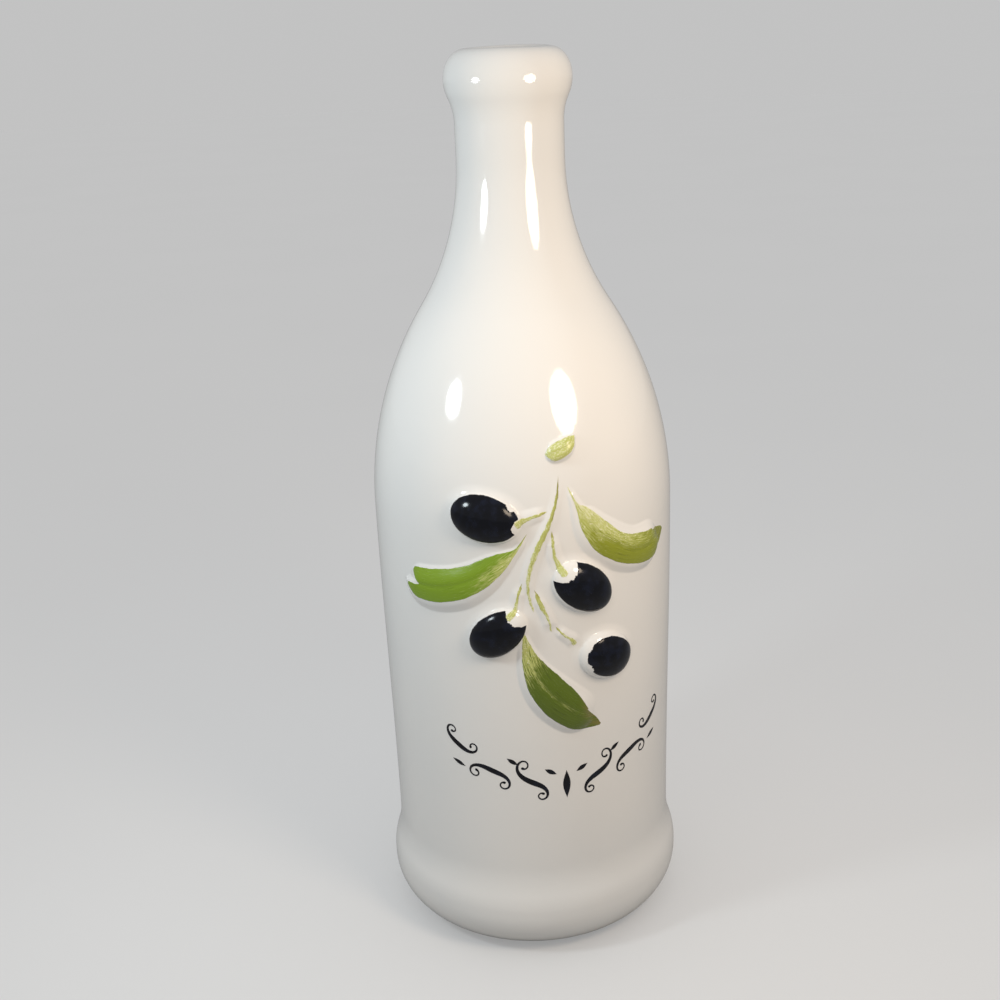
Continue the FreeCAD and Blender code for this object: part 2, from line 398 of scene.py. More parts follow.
def olive_axes(rise):
    """The directions along and beside an olive."""
    tilt = math.radians(rise)
    return (math.cos(tilt), math.sin(tilt)), (-math.sin(tilt), math.cos(tilt))


class Relief:
    """Height of the sprig above the turned body, in millimetres."""

    def __init__(self):
        self.leaves = []
        for _, upper, lower, skirt, _, _, _ in LEAVES:
            high, low = smooth_path(upper, 81), smooth_path(lower, 81)
            widths = np.linalg.norm(high - low, axis=1) / 2.0
            middle = (high + low) / 2.0
            # the midrib ends short of the tip, where the blade is round
            to_tip = np.linalg.norm(middle - middle[-1], axis=1)
            kept = to_tip > widths[-1] * 1.5 + 0.6
            self.leaves.append((middle[kept], widths[kept], skirt))
        self.stems = [(smooth_path(stem[1], 41), stem[2]) for stem in STEMS]

    def olive(self, across, z, one):
        """Two half ellipsoids, blunt and slim, that meet at the olive's centre."""
        _, centre, rise, blunt, stalk, half_width = one
        along_axis, side_axis = olive_axes(rise)
        x, y = across - centre[0], z - centre[1]
        along = x * along_axis[0] + y * along_axis[1]
        side = x * side_axis[0] + y * side_axis[1]
        reach = np.where(along > 0.0, stalk, blunt)
        rim = np.sqrt((along / reach) ** 2 + (side / half_width) ** 2)
        dome = OLIVE_CROWN * np.sqrt(np.maximum(1.0 - rim ** 2, 0.0))
        return dome - OLIVE_FALL * half_width * np.maximum(rim - 1.0, 0.0)

    def leaf(self, across, z, path, widths, skirt):
        """A blade with a grooved midrib, which swells towards its lower edge and its tip."""
        share, off, beside = nearest_on_path(path, across, z)
        width = np.interp(share, np.linspace(0.0, 1.0, len(widths)), widths)
        full = width / widths.max()
        upper = ramp(beside * np.sign(path[-1, 0] - path[0, 0]), -0.8, 0.8)
        spread = ramp(full, 1.0 / 6.0, 1.0) * ramp(share, 0.15, 0.65)
        reach = width + LEAF_MARGIN + skirt * spread * (1.0 - upper)
        crown = LEAF_CROWN * (0.3 + 0.7 * full) * ramp(share, 0.0, 0.10, 0.05)
        crown *= 0.5 + 0.5 * ramp(share, 0.0, 0.7)
        belly = crown * (1.0 - (off / reach) ** (3.5 - 1.6 * upper))
        belly -= LEAF_FALL * np.maximum(off - reach, 0.0)
        groove = RIB_DEPTH * full * np.exp(-(off / RIB_WIDTH) ** 2)
        return belly - groove - END_SINK * (1.0 - ramp(share, 0.0, 0.07))

    def stem(self, across, z, path, half_width):
        """A low ridge that narrows towards its end and dips into the body at both ends."""
        share, off, _ = nearest_on_path(path, across, z)
        width = (half_width + STEM_MARGIN) * (1.0 - 0.35 * share)
        ends = np.minimum(ramp(share, 0.0, 0.20), ramp(share, 1.0, 0.70))
        ridge = STEM_CROWN * (0.15 + 0.85 * ends) * (1.0 - (off / width) ** 2)
        return ridge - END_SINK * (1.0 - ends) - STEM_FALL * np.maximum(off - width, 0.0)

    def height(self, across, z):
        total = np.zeros(len(across))

        def raise_by(outline, reach, blend, form, *settings):
            low, high = np.min(outline, axis=0) - reach, np.max(outline, axis=0) + reach
            near = (across > low[0]) & (across < high[0]) & (z > low[1]) & (z < high[1])
            if near.any():
                height = form(across[near], z[near], *settings)
                total[near] = smooth_max(total[near], height, blend)

        for path, half_width in self.stems:
            raise_by(path, PATH_REACH, STEM_BLEND, self.stem, path, half_width)
        for path, widths, skirt in self.leaves:
            raise_by(path, PATH_REACH, LEAF_BLEND, self.leaf, path, widths, skirt)
        for one in OLIVES:
            raise_by([one[1]], OLIVE_REACH, OLIVE_BLEND, self.olive, one)
        return total


RELIEF = Relief()


def strayed(form, places):
    """Shifts places off the true round by a hair, as a hand-finished casting is."""
    x, y, z = places[:, 0], places[:, 1], places[:, 2]
    angle, height = np.arctan2(y, x), z / form.height
    swing = (0.6 * np.sin(2.0 * angle + 0.8 + 3.0 * height)
             + 0.4 * np.sin(3.0 * angle + 2.1 - 5.0 * height))
    off_axis = np.hypot(x, y) > 0.01 * MM
    out = form.unevenness * swing * ramp(z, 0.0, 20.0 * MM) * off_axis
    at_lip = ramp(height, 0.93, 1.0)
    sink = form.unevenness * 0.7 * at_lip * (1.0 - np.sin(2.0 * angle - 0.9))
    return places + np.stack([out * np.cos(angle), out * np.sin(angle), -sink], axis=1)


def front_points(form, across, z, lift):
    """Places in metres on the raised front, lifted by so many millimetres off the relief."""
    step = 0.05
    height = RELIEF.height(across, z)
    rise_x = (RELIEF.height(across + step, z) - RELIEF.height(across - step, z)) / (2 * step)
    rise_z = (RELIEF.height(across, z + step) - RELIEF.height(across, z - step)) / (2 * step)
    radius = body_radius_at(form, z)
    lean = (body_radius_at(form, z + step) - body_radius_at(form, z - step)) / (2 * step)
    angle = across / (form.body_radius / MM)
    flat = 1.0 / np.sqrt(1.0 + lean ** 2)
    out_r, out_z = flat, -lean * flat
    size = np.sqrt(1.0 + rise_x ** 2 + rise_z ** 2)
    tilt_r = (out_r - rise_z * lean * flat) / size
    tilt_z = (out_z - rise_z * flat) / size
    tilt_side = -rise_x / size
    reach = radius + height * out_r + lift * tilt_r
    side = lift * tilt_side
    x = reach * np.sin(angle) + side * np.cos(angle)
    y = -reach * np.cos(angle) + side * np.sin(angle)
    return np.stack([x, y, z + height * out_z + lift * tilt_z], axis=1) * MM


# ---- meshes ----

def linked(name, data):
    """Puts a new object with this data into the scene."""
    made = bpy.data.objects.new(name, data)
    bpy.context.scene.collection.objects.link(made)
    return made


def mesh_object(name, bm, materials):
    """Puts a finished bmesh into the scene as an object with its materials."""
    mesh = bpy.data.meshes.new(name)
    bm.to_mesh(mesh)
    bm.free()
    for material in materials:
        mesh.materials.append(material)
    return linked(name, mesh)


def new_piece(name, bm, materials):
    """The same for a piece that rides on the bottle."""
    piece = mesh_object(name, bm, materials)
    piece.data.shade_smooth()
    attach(piece, BODY)
    return piece


def turned_wall(form):
    """The wall's outline turned once round the axis."""
    bm = bmesh.new()
    verts = [bm.verts.new((r * MM, 0.0, z * MM)) for r, z in wall_section(form)]
    edges = [bm.edges.new(pair) for pair in zip(verts, verts[1:])]
    bmesh.ops.spin(bm, geom=verts + edges, cent=(0, 0, 0), axis=(0, 0, 1), dvec=(0, 0, 0),
                   angle=2.0 * math.pi, steps=AROUND, use_merge=True)
    bmesh.ops.remove_doubles(bm, verts=bm.verts, dist=WELD * MM)
    bmesh.ops.recalc_face_normals(bm, faces=bm.faces)
    return bm


def is_front(co, form):
    """True on the outside of the front half, between the waist and the neck."""
    z = co.z / MM
    if co.y > 0.0 or not WAIST_HEIGHT < z < NECK_START:
        return False
    return math.hypot(co.x, co.y) / MM > float(body_radius_at(form, z)) - SKIN


def front_places(form, places):
    """(across, height) in millimetres of places on the front."""
    co = np.array(places) / MM
    return np.arctan2(co[:, 0], -co[:, 1]) * form.body_radius / MM, co[:, 2]


def refine_front(bm, form, reach, least_height):
    """Halves the edges of the front's faces whose surroundings hold relief."""
    faces = [f for f in bm.faces if is_front(f.calc_center_median(), form)]
    across, z = front_places(form, [f.calc_center_median() for f in faces])
    busy = np.zeros(len(faces), bool)
    for dx, dz in ((0, 0), (reach, 0), (-reach, 0), (0, reach), (0, -reach)):
        busy |= RELIEF.height(across + dx, z + dz) > least_height
    edges = {e for f, chosen in zip(faces, busy) if chosen for e in f.edges}
    bmesh.ops.subdivide_edges(bm, edges=list(edges), cuts=1, use_grid_fill=True)


def raise_relief(bm, form):
    """Puts the front's corners on the body's curve, out by the height of the sprig."""
    verts = [v for v in bm.verts if is_front(v.co, form)]
    across, z = front_places(form, [v.co for v in verts])
    for vert, place in zip(verts, front_points(form, across, z, 0.0)):
        vert.co = place


def loosen(bm, form):
    """Strays every corner of the turned form."""
    verts = list(bm.verts)
    for vert, place in zip(verts, strayed(form, np.array([v.co for v in verts]))):
        vert.co = place


# ---- enamel films ----

def rough(values, seed, scale, amount):
    """A smooth ragged line: sums of sines of odd pitch, seeded, along the values."""
    source = np.random.default_rng(seed)
    total = np.zeros(len(values))
    for octave in range(5):
        pitch = scale * 2.03 ** octave
        total += np.sin(values * pitch + source.uniform(0, 6.28)) * 0.62 ** octave
    return amount * total / 1.9


def film_lift(edge, thickness, roll):
    """Height of a film by distance from its edge: rounded up over the roll width."""
    raised = thickness * np.sqrt(1.0 - (1.0 - ramp(edge, 0.0, roll)) ** 2)
    return raised - EDGE_DIP * (edge <= 0.0)


def film_from_grid(scene, kind, name, places, edge, marks, material):
    """Lays a grid of places on the relief as a thin closed film.

    places is rows x columns x 2, edge the distance from the film's edge in millimetres and
    marks a dict of further values that the corners store.
    """
    form, thickness = scene.oilbottle_form, scene.oilbottle_paint.thickness
    slot, thick_share, roll = FILMS[kind]
    rows, columns = places.shape[:2]
    bm = bmesh.new()
    bmesh.ops.create_grid(bm, x_segments=columns - 1, y_segments=rows - 1, size=1.0)
    values = {key: np.broadcast_to(mark, edge.shape).reshape(-1)
              for key, mark in {**marks, "edge": edge}.items()}
    layers = {key: bm.verts.layers.float.new(key) for key in values}
    verts = sorted(bm.verts, key=lambda v: (round(v.co.y, 6), round(v.co.x, 6)))
    across, z = places.reshape(-1, 2).T
    lift = film_lift(edge.reshape(-1), thickness * thick_share / MM, roll)
    laid = strayed(form, front_points(form, across, z, lift))
    for index, (vert, place) in enumerate(zip(verts, laid)):
        vert.co = place
        for key, layer in layers.items():
            vert[layer] = float(values[key][index])
    bmesh.ops.remove_doubles(bm, verts=bm.verts, dist=2.0 * WELD * MM)
    bmesh.ops.recalc_face_normals(bm, faces=bm.faces)
    if sum(f.normal.dot(f.calc_center_median().xy.to_3d()) for f in bm.faces) < 0.0:
        bmesh.ops.reverse_faces(bm, faces=bm.faces)
    bmesh.ops.solidify(bm, geom=bm.faces[:], thickness=FILM_DEPTH * MM)
    return new_piece(name, bm, [material])


def olive_film(scene, one, painted, seed, material):
    """Black enamel on an olive, ragged where the brush left it bare at the stalk."""
    name, centre, rise, _, _, _ = one
    blunt, stalk, half_width, shift, bare = painted
    rings, spokes = OLIVE_GRID
    angle = np.linspace(0.0, 2.0 * np.pi, spokes + 1)
    cosine, sine = np.cos(angle), np.sin(angle)
    reach = np.where(cosine > 0.0, stalk, blunt)
    limit = 1.0 / np.sqrt((cosine / reach) ** 2 + (sine / half_width) ** 2)
    limit += rough(3.0 * cosine + 5.0 * sine, seed + 50, scale=2.6, amount=0.07)
    for u, v, radius in bare:
        ray = u * cosine + v * sine
        hit = ray ** 2 - (u ** 2 + v ** 2 - radius ** 2)
        near = ray - np.sqrt(np.maximum(hit, 0.0))
        near += rough(angle, seed, scale=21.0, amount=0.32)
        limit = np.where((hit > 0.0) & (ray > 0.0), np.minimum(limit, near), limit)
    limit[-1] = limit[0]
    share = np.linspace(0.0, 1.0, rings + 1) ** 0.8
    u = share[None, :] * (limit * cosine)[:, None]
    v = share[None, :] * (limit * sine)[:, None] + shift
    axis_u, axis_v = olive_axes(rise)
    places = np.stack([centre[k] + u * axis_u[k] + v * axis_v[k] for k in (0, 1)], axis=2)
    edge = (1.0 - share)[None, :] * limit[:, None]
    marks = {"along": u / stalk, "beside": v / half_width}
    film_from_grid(scene, "olive", "olive_enamel_" + name, places, edge, marks, material)


def stroke_film(scene, kind, name, path, left, right, columns, material):
    """A brush stroke along a path, with its own widths to the left and right of it."""
    spread = np.linspace(-1.0, 1.0, columns + 1)[None, :]
    width = np.where(spread > 0.0, left[:, None], right[:, None])
    places = path[:, None, :] + path_sides(path)[:, None, :] * (spread * width)[:, :, None]
    lengths = run_lengths(path)[:, None]
    edge = np.minimum((1.0 - np.abs(spread)) * width, np.minimum(lengths, lengths[-1] - lengths))
    marks = {"along": lengths, "share": lengths / lengths[-1], "beside": spread,
             "across": spread * width}
    film_from_grid(scene, kind, name, places, edge, marks, material)


def leaf_film(scene, one, seed, material):
    """Green enamel on a leaf, with dry ragged edges and a notch at the tip."""
    name, upper, lower, _, notch_at, notch_width, notch_depth = one
    rows, columns = BUD_GRID if name == "bud" else LEAF_GRID
    high, low = smooth_path(upper, rows), smooth_path(lower, rows)
    share = np.linspace(0.0, 1.0, rows)
    spread = np.linspace(0.0, 1.0, columns)
    wide = (high - low) / (np.linalg.norm(high - low, axis=1)[:, None] + 1e-6)
    length = run_lengths((high + low) / 2.0)[-1]
    wide *= ramp(share, 0.0, 0.06, 0.1)[:, None]
    high = high + wide * rough(share * length, seed, scale=0.8, amount=0.11)[:, None]
    low = low + wide * rough(share * length, seed + 7, scale=0.8, amount=0.11)[:, None]
    # how far each line of the stroke stops short of the tip: notch, round corners, hairs
    dent = notch_depth * np.exp(-np.abs((spread - notch_at) / notch_width) ** 1.5)
    if notch_depth:
        dent += TIP_CORNERS * np.abs(2.0 * spread - 1.0) ** 6
    dent += rough(spread * 8.0, seed + 9, scale=2.0, amount=0.15)
    row = share[:, None] * (1.0 - dent / length * share[:, None] ** 6) * (rows - 1)
    index = np.arange(rows)
    places = np.empty((rows, columns, 2))
    for k in (0, 1):
        top, bottom = np.interp(row, index, high[:, k]), np.interp(row, index, low[:, k])
        places[:, :, k] = bottom + (top - bottom) * spread
    width = np.linalg.norm(high - low, axis=1)[:, None]
    end = np.minimum(share, 1.0 - share)[:, None] * length
    edge = np.minimum(np.minimum(spread, 1.0 - spread) * width, end)
    marks = {"along": share[:, None] * length, "share": share[:, None],
             "beside": 2.0 * spread - 1.0, "across": (spread - 0.5) * width}
    film_from_grid(scene, "leaf", "leaf_enamel_" + name, places, edge, marks, material)


def stem_film(scene, one, seed, material):
    """A thin dry stroke of green along a stem."""
    name, points, half_width, pressed = one
    length = float(run_lengths(points)[-1])
    path = smooth_path(points, 30 + 5 * round(length))
    share = np.linspace(0.0, 1.0, len(path))
    width = half_width * (0.52 + 0.85 * np.exp(-((share - pressed) / 0.26) ** 2))
    taper = ramp(share, 0.0, 0.03, 0.05) * ramp(share, 1.0, 0.88, 0.05)
    left, right = (
        np.clip(width + rough(share * length, seed + more, scale, 0.14), 0.08, None) * taper
        for more, scale in ((0, 1.7), (3, 1.9)))
    stroke_film(scene, "stem", "stem_enamel_" + name, path, left, right, 8, material)


# ---- the scroll ----

def arm(start, heading, length, turn, steps=90):
    """A line that sets out straight and winds ever tighter, by turn degrees in all."""
    share = np.linspace(0.0, 1.0, steps)
    headings = math.radians(heading) + math.radians(turn) * share ** 2.4
    step = length / (steps - 1)
    x = start[0] + np.concatenate([[0.0], np.cumsum(np.cos(headings[:-1]))]) * step
    y = start[1] + np.concatenate([[0.0], np.cumsum(np.sin(headings[:-1]))]) * step
    return np.stack([x, y], axis=1)


def double_scroll(middle, heading, first, second):
    """Two arms that leave the middle in opposite directions, as one line."""
    back = arm(middle, heading + 180.0, *first)
    return np.concatenate([back[::-1], arm(middle, heading, *second)[1:]])


def band_place(points):
    """Bends a flat drawing onto the smile-shaped band under the sprig."""
    x, y = points[:, 0], points[:, 1]
    middle, low, bow = 11.0, 60.0, 0.0086
    slope = 2.0 * bow * x
    size = np.sqrt(1.0 + slope ** 2)
    return np.stack([middle + x - y * slope / size, low + bow * x ** 2 + y / size], axis=1)


# name, middle, heading in degrees, length and turn of the inner arm and of the outer arm,
# thickest half width; drawn for the right half and mirrored to the left
SCROLLS = [
    ("wave", (11.5, 3.4), 14.0, (14.0, 420.0), (17.0, 400.0), 1.0),
    ("counter", (24.8, 3.2), -2.0, (14.0, 400.0), (14.5, -400.0), 0.95),
    ("tail", (37.4, 4.4), 2.0, (11.5, -360.0), (12.0, 390.0), 0.9),
]
# start, heading, length and half width of each drop; the first one stands in the middle
# and the others are mirrored to the left
DROPS = [
    ((0.0, -2.0), 90.0, 10.0, 1.3),
    ((3.6, 6.8), 20.0, 5.0, 0.8),
    ((17.8, 8.4), 12.0, 4.6, 0.75),
    ((32.4, -0.8), -8.0, 4.4, 0.7),
]


def scroll_film(scene, name, drawing, thick, material):
    """A black stroke, thick in its middle, that ends in a small ball at both ends."""
    thin, ball = 0.26, 0.34
    share = np.linspace(0.0, 1.0, len(drawing))
    at_ends = np.exp(-((1.0 - share) / 0.03) ** 2) + np.exp(-(share / 0.03) ** 2)
    width = thin + (thick - thin) * np.sin(np.pi * share) ** 4 + ball * at_ends
    ends = ramp(np.minimum(share, 1.0 - share), 0.0, 0.02)
    width = width * np.sqrt(np.clip(1.0 - (1.0 - ends) ** 2, 0.02, 1.0))
    stroke_film(scene, "scroll", name, band_place(drawing), width, width, 8, material)


def drop_film(scene, name, drawing, thick, material):
    """A black drop, pointed at both ends."""
    swell = np.sin(np.pi * np.linspace(0.0, 1.0, len(drawing)))
    width = np.clip(thick * swell ** 1.2, 0.03, None)
    stroke_film(scene, "scroll", name, band_place(drawing), width, width, 10, material)


# ---- materials ----

class Shader:
    """Short hands for building a node material."""

    def __init__(self, name):
        self.material = bpy.data.materials.new(name)
        self.material.use_nodes = True
        self.tree = self.material.node_tree
        self.surface = self.tree.nodes["Principled BSDF"]

    def node(self, kind, **settings):
        node = self.tree.nodes.new(kind)
        for key, value in settings.items():
            setattr(node, key, value)
        return node

    def fill(self, socket, value):
        """Gives a socket a link, a number or a colour."""
        if isinstance(value, bpy.types.NodeSocket):
            self.tree.links.new(value, socket)
        else:
            socket.default_value = (*value, 1.0) if isinstance(value, tuple) else value

    def math(self, operation, a, b=0.0):
        node = self.node("ShaderNodeMath", operation=operation)
        for socket, value in zip(node.inputs, (a, b)):
            self.fill(socket, value)
        return node.outputs[0]

    def times(self, a, b):
        return self.math("MULTIPLY", a, b)

    def plus(self, a, b):
        return self.math("ADD", a, b)

    def span(self, value, low, high, to_low=0.0, to_high=1.0):
        """A smooth step from low to high, which may also run down."""
        node = self.node("ShaderNodeMapRange", interpolation_type="SMOOTHSTEP")
        for socket, number in zip(node.inputs[:5], (value, low, high, to_low, to_high)):
            self.fill(socket, number)
        return node.outputs[0]

    def mix(self, share, a, b):
        node = self.node("ShaderNodeMix", data_type="RGBA")
        for index, value in ((0, share), (6, a), (7, b)):
            self.fill(node.inputs[index], value)
        return node.outputs[2]

    def noise(self, vector, scale, detail=2.0, roughness=0.5, distortion=0.0):
        node = self.node("ShaderNodeTexNoise")
        for key, value in (("Vector", vector), ("Scale", scale), ("Detail", detail),
                           ("Roughness", roughness), ("Distortion", distortion)):
            self.fill(node.inputs[key], value)
        return node.outputs["Fac"]

    def place(self):
        return self.node("ShaderNodeTexCoord").outputs["Object"]

    def mark(self, name):
        """A value that the film's mesh stores on its corners."""
        return self.node("ShaderNodeAttribute", attribute_name=name).outputs["Fac"]

    def vector(self, x, y):
        node = self.node("ShaderNodeCombineXYZ")
        for socket, value in zip(node.inputs, (x, y)):
            self.fill(socket, value)
        return node.outputs[0]

    def bump(self, height, strength, distance):
        node = self.node("ShaderNodeBump")
        for key, value in (("Strength", strength), ("Distance", distance), ("Height", height)):
            self.fill(node.inputs[key], value)
        self.fill(self.surface.inputs["Normal"], node.outputs[0])

    def finish(self, color, roughness, ior=1.5):
        for key, value in (("Base Color", color), ("Roughness", roughness), ("IOR", ior)):
            self.fill(self.surface.inputs[key], value)
        return self.material


def scaled(color, shares):
    """A colour with each of its parts multiplied."""
    return tuple(part * share for part, share in zip(color, shares))


def glaze_material(color):
    """White glaze: pooled a little cooler in places, with orange peel and stray specks."""
    sh = Shader("white_glaze")
    place = sh.place()
    pool = sh.span(sh.noise(place, scale=14.0, detail=3.0), 0.35, 0.7)
    tone = sh.mix(pool, tuple(color), scaled(color, (0.955, 0.965, 0.975)))
    cells = sh.node("ShaderNodeTexVoronoi")
    sh.fill(cells.inputs["Scale"], 95.0)
    sh.fill(cells.inputs["Vector"], place)
    random_part = sh.node("ShaderNodeSeparateColor")
    sh.fill(random_part.inputs[0], cells.outputs["Color"])
    chosen = sh.math("GREATER_THAN", random_part.outputs[0], 0.965)
    dot = sh.math("LESS_THAN", cells.outputs["Distance"], 0.022)
    tone = sh.mix(sh.times(sh.times(chosen, dot), 0.55), tone, SPECK_BROWN)
    sh.bump(sh.noise(place, scale=260.0), strength=0.10, distance=0.2 * MM)
    gloss = sh.span(sh.noise(place, scale=30.0), 0.3, 0.7, 0.05, 0.10)
    return sh.finish(tone, gloss, ior=1.52)


def bare_clay_material():
    """Fired clay of the foot ring, where the glaze was wiped off."""
    sh = Shader("bare_clay")
    grain = sh.noise(sh.place(), scale=900.0, detail=4.0, roughness=0.7)
    tone = sh.mix(sh.span(grain, 0.3, 0.7), CLAY_DARK, CLAY_PALE)
    sh.bump(grain, strength=0.5, distance=0.3 * MM)
    return sh.finish(tone, sh.span(grain, 0.3, 0.7, 0.7, 0.9))


def black_material(color):
    """Black enamel with brushed ridges and a painted bluish sheen in lighter patches."""
    sh = Shader("black_enamel")
    place = sh.place()
    flow_and_sheen = sh.noise(place, scale=350.0, detail=3.0)
    # painted sheen: patches of the black drawn lighter and bluer
    tone = sh.mix(sh.span(flow_and_sheen, 0.4, 0.75), tuple(color), scaled(color, (2.2, 2.6, 3.2)))
    sh.bump(sh.noise(place, scale=900.0, detail=3.0), strength=0.12, distance=0.1 * MM)
    return sh.finish(tone, sh.span(flow_and_sheen, 0.3, 0.7, 0.10, 0.18), ior=1.33)


def leaf_material(name, paint, glaze):
    """Green enamel laid on in strokes: streaks along the leaf, dry and pale at the stalk."""
    setting, dark_share, pale_stalk, pale_side, rib_highlight, brown_tip, dry = LOOKS[name]
    green = tuple(getattr(paint, setting))
    sh = Shader("green_enamel_" + name)
    along, share = sh.mark("along"), sh.mark("share")
    beside, across, edge = sh.mark("beside"), sh.mark("across"), sh.mark("edge")
    # noise drawn out along the leaf: wide streaks, and the brush's single hairs
    streak = sh.noise(sh.vector(sh.times(along, 0.09), sh.times(across, 0.9)),
                      scale=1.0, detail=4.0, roughness=0.6, distortion=0.4)
    hairs = sh.noise(sh.vector(sh.times(along, 0.30), sh.times(across, 3.2)),
                     scale=1.0, detail=3.0, roughness=0.65, distortion=0.2)
    grains = sh.noise(sh.place(), scale=2300.0, roughness=0.6)
    base = sh.mix(sh.span(streak, 0.58 - dark_share, 0.78 - dark_share),
                  green, scaled(green, (0.62,) * 3))
    # where the enamel is thin, at the stalk and on the upper side, and a painted
    # highlight along the midrib
    side = sh.times(sh.span(beside, -0.35, 0.75), sh.span(share, 1.30, 0.30))
    # painted highlight: the midrib drawn paler
    rib = sh.times(sh.span(sh.math("ABSOLUTE", beside), 0.20, 0.02),
                   sh.span(share, 0.95, 0.75))
    thin = sh.times(sh.span(share, pale_stalk, 0.03), 0.75)
    thin = sh.plus(thin, sh.times(side, pale_side))
    thin = sh.plus(thin, sh.times(rib, rib_highlight))
    strokes = sh.math("SUBTRACT", hairs, 0.5)
    thin = sh.times(thin, sh.plus(sh.times(strokes, 4.2), 1.0))
    thin = sh.plus(thin, sh.times(strokes, 0.5))
    tone = sh.mix(sh.span(thin, 0.08, 0.66), base, tuple(paint.green_pale))
    tips = sh.times(sh.span(share, 0.80, 1.0), sh.span(streak, 0.35, 0.60))
    tone = sh.mix(sh.times(tips, brown_tip), tone, TIP_BROWN)
    # where the glaze shows through the dry enamel; the painted midrib highlight adds to it
    bare = sh.plus(sh.times(thin, 0.34), sh.times(sh.span(edge, 0.7, 0.1), 0.16))
    bare = sh.plus(bare, sh.times(sh.math("SUBTRACT", grains, 0.5), 1.5))
    shown = sh.times(sh.span(bare, 0.34 - dry, 0.50 - dry), 0.75)
    tone = sh.mix(shown, tone, scaled(glaze, (0.92, 0.94, 0.66)))
    sh.bump(hairs, strength=0.35, distance=0.1 * MM)
    return sh.finish(tone, sh.span(hairs, 0.3, 0.7, 0.16, 0.30), ior=1.48)


def floor_material(color):
    """Matt pale floor, lifted for the camera alone so that it meets the backdrop."""
    sh = Shader("pale_floor")
    grain = sh.span(sh.noise(sh.place(), scale=6.0), 0.3, 0.7)
    tone = sh.mix(grain, scaled(color, (1.006,) * 3), scaled(color, (0.994,) * 3))
    glow = sh.node("ShaderNodeEmission")
    path = sh.node("ShaderNodeLightPath")
    sh.fill(glow.inputs["Strength"], sh.times(path.outputs["Is Camera Ray"], FLOOR_GLOW))
    both = sh.node("ShaderNodeAddShader")
    sh.fill(both.inputs[0], sh.surface.outputs[0])
    sh.fill(both.inputs[1], glow.outputs[0])
    sh.fill(sh.tree.nodes["Material Output"].inputs["Surface"], both.outputs[0])
    sh.fill(sh.surface.inputs["Specular IOR Level"], 0.0)
    return sh.finish(tone, 0.9)


# ---- operators ----

class OILBOTTLE_OT_body(bpy.types.Operator):
    """Turns the wall, raises the sprig on it and glazes it."""
    bl_idname = "oilbottle.body"
    bl_label = "Glazed Body"

    def execute(self, context):
        form = context.scene.oilbottle_form
        bm = turned_wall(form)
        for reach, least_height in REFINEMENTS:
            refine_front(bm, form, reach, least_height)
        raise_relief(bm, form)
        for face in bm.faces:
            face.material_index = int(face.calc_center_median().z < BARE_HEIGHT * MM)
        loosen(bm, form)
        if any(not edge.is_manifold for edge in bm.edges):
            raise RuntimeError("the body's wall is not closed")
        glaze = glaze_material(context.scene.oilbottle_studio.glaze)
        piece = new_piece("glazed_body", bm, [glaze, bare_clay_material()])
        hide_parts(NODE)
        return {"FINISHED"}


class OILBOTTLE_OT_olives(bpy.types.Operator):
    """Paints the olives with black enamel."""
    bl_idname = "oilbottle.olives"
    bl_label = "Olive Enamel"

    def execute(self, context):
        material = black_material(context.scene.oilbottle_paint.black)
        for seed, (one, painted) in enumerate(zip(OLIVES, OLIVE_PAINT), OLIVE_SEED):
            olive_film(context.scene, one, painted, seed, material)
        return {"FINISHED"}


class OILBOTTLE_OT_leaves(bpy.types.Operator):
    """Paints the leaves and stems with green enamel."""
    bl_idname = "oilbottle.leaves"
    bl_label = "Leaf and Stem Enamel"

    def execute(self, context):
        scene = context.scene
        paint, glaze = scene.oilbottle_paint, scene.oilbottle_studio.glaze
        for seed, one in enumerate(LEAVES, LEAF_SEED):
            leaf_film(scene, one, seed, leaf_material(one[0], paint, glaze))
        stem = leaf_material("stem", paint, glaze)
        for seed, one in enumerate(STEMS, STEM_SEED):
            stem_film(scene, one, seed, stem)
        return {"FINISHED"}


class OILBOTTLE_OT_scroll(bpy.types.Operator):
    """Paints the black scroll under the sprig."""
    bl_idname = "oilbottle.scroll"
    bl_label = "Scroll Enamel"

    def execute(self, context):
        material = black_material(context.scene.oilbottle_paint.black)
        strokes = [(scroll_film, name, double_scroll(*drawing), thick)
                   for name, *drawing, thick in SCROLLS]
        strokes += [(drop_film, "drop_%d" % number, arm(*drawing, 0.0, 40), thick)
                    for number, (*drawing, thick) in enumerate(DROPS)]
        for film, name, drawing, thick in strokes:
            sides = {"middle": 1.0} if name == "drop_0" else {"right": 1.0, "left": -1.0}
            for side, turn in sides.items():
                film(context.scene, "scroll_%s_%s" % (name, side),
                     drawing * np.array([turn, 1.0]), thick, material)
        return {"FINISHED"}


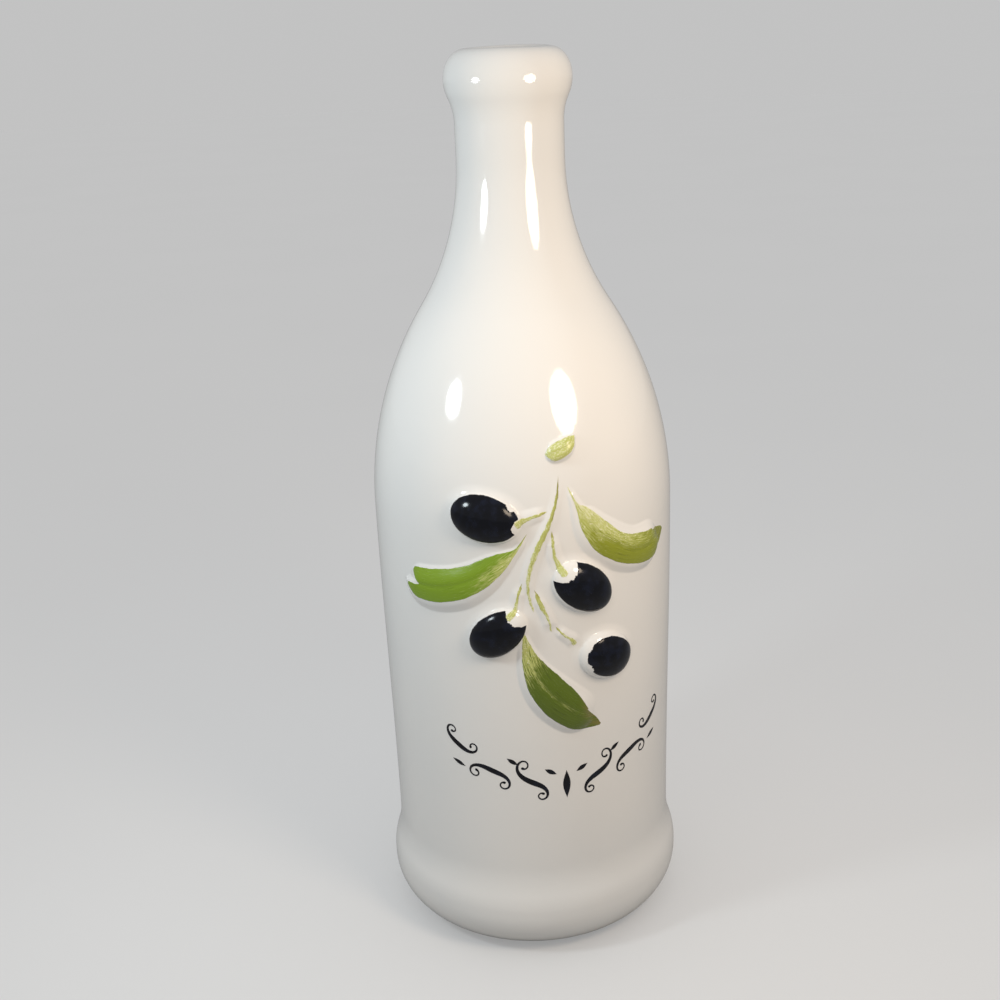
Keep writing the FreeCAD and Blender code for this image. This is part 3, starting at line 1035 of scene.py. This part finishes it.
class OILBOTTLE_OT_studio(bpy.types.Operator):
    """Sets up the floor, the world, the lamps and the camera."""
    bl_idname = "oilbottle.studio"
    bl_label = "Studio"

    def execute(self, context):
        studio = context.scene.oilbottle_studio
        self.floor(studio)
        self.world(context, studio)
        for lamp in LAMPS:
            self.lamp(*lamp)
        self.overhead()
        self.camera(context, studio)
        context.scene.view_settings.view_transform = "Standard"
        return {"FINISHED"}

    def floor(self, studio):
        bm = bmesh.new()
        bmesh.ops.create_circle(bm, cap_ends=True, radius=FLOOR_RADIUS, segments=96)
        floor = mesh_object("floor", bm, [floor_material(studio.floor)])

    def world(self, context, studio):
        """Even light all round, behind a backdrop that matches the floor."""
        world = bpy.data.worlds.new("studio")
        world.use_nodes = True
        tree = world.node_tree
        light, seen = tree.nodes["Background"], tree.nodes.new("ShaderNodeBackground")
        backdrop = (AMBIENT + OVERHEAD) * studio.floor[0] + FLOOR_GLOW
        for node, grey, strength in ((light, 1.0, AMBIENT), (seen, backdrop, 1.0)):
            node.inputs[0].default_value = (grey, grey, grey, 1.0)
            node.inputs[1].default_value = strength
        path = tree.nodes.new("ShaderNodeLightPath")
        choice = tree.nodes.new("ShaderNodeMixShader")
        sources = (path.outputs["Is Camera Ray"], light.outputs[0], seen.outputs[0])
        for source, target in zip(sources, choice.inputs):
            tree.links.new(source, target)
        tree.links.new(choice.outputs[0], tree.nodes["World Output"].inputs[0])
        context.scene.world = world

    def lamp(self, name, place, width, height, power, color):
        """An oval soft box that looks at the sprig."""
        data = bpy.data.lights.new(name, "AREA")
        data.shape = "ELLIPSE"
        data.size, data.size_y = width, height
        data.energy, data.color = power, color
        lamp = linked(name, data)
        aim = Vector(LAMP_AIM) - Vector(place)
        turn = aim.to_track_quat("-Z", "Y").to_matrix().to_4x4()
        lamp.matrix_world = Matrix.Translation(place) @ turn
        lamp.visible_camera = False

    def overhead(self):
        """Wide soft light from straight above."""
        data = bpy.data.lights.new("overhead", "SUN")
        data.energy = OVERHEAD * math.pi
        data.angle = OVERHEAD_ANGLE
        linked("overhead", data).visible_glossy = False

    def camera(self, context, studio):
        turn = (Matrix.Rotation(-studio.camera_yaw, 4, "Z")
                @ Matrix.Rotation(math.radians(90.0) - studio.camera_pitch, 4, "X")
                @ Matrix.Rotation(studio.camera_roll, 4, "Z"))
        place = Vector((0.0, -studio.camera_distance, studio.camera_height))
        data = bpy.data.cameras.new("camera")
        data.lens = studio.camera_lens
        camera = linked("camera", data)
        camera.matrix_world = Matrix.Translation(place) @ turn
        context.scene.camera = camera


class OILBOTTLE_PT_panel(bpy.types.Panel):
    """The bottle's settings and operators."""
    bl_label = "Oil Bottle"
    bl_idname = "OILBOTTLE_PT_panel"
    bl_space_type = "VIEW_3D"
    bl_region_type = "UI"
    bl_category = "Oil Bottle"

    def draw(self, context):
        for setting in SETTINGS:
            group = getattr(context.scene, setting)
            box = self.layout.box()
            for name in group.bl_rna.properties.keys():
                if name not in ("rna_type", "name"):
                    box.prop(group, name)
        for operator in OPERATORS:
            self.layout.operator(operator.bl_idname)


OPERATORS = (OILBOTTLE_OT_body, OILBOTTLE_OT_olives, OILBOTTLE_OT_leaves, OILBOTTLE_OT_scroll,
             OILBOTTLE_OT_studio)
SETTINGS = {"oilbottle_form": BottleForm, "oilbottle_paint": EnamelPaint,
            "oilbottle_studio": StudioSettings}
CLASSES = (*SETTINGS.values(), *OPERATORS, OILBOTTLE_PT_panel)


def register():
    for cls in CLASSES:
        bpy.utils.register_class(cls)
    for name, group in SETTINGS.items():
        setattr(bpy.types.Scene, name, bpy.props.PointerProperty(type=group))


def unregister():
    for name in SETTINGS:
        delattr(bpy.types.Scene, name)
    for cls in reversed(CLASSES):
        bpy.utils.unregister_class(cls)


def main():
    register()
    bpy.ops.oilbottle.body()
    bpy.ops.oilbottle.olives()
    bpy.ops.oilbottle.leaves()
    bpy.ops.oilbottle.scroll()
    bpy.ops.oilbottle.studio()


if __name__ == "__main__":
    main()
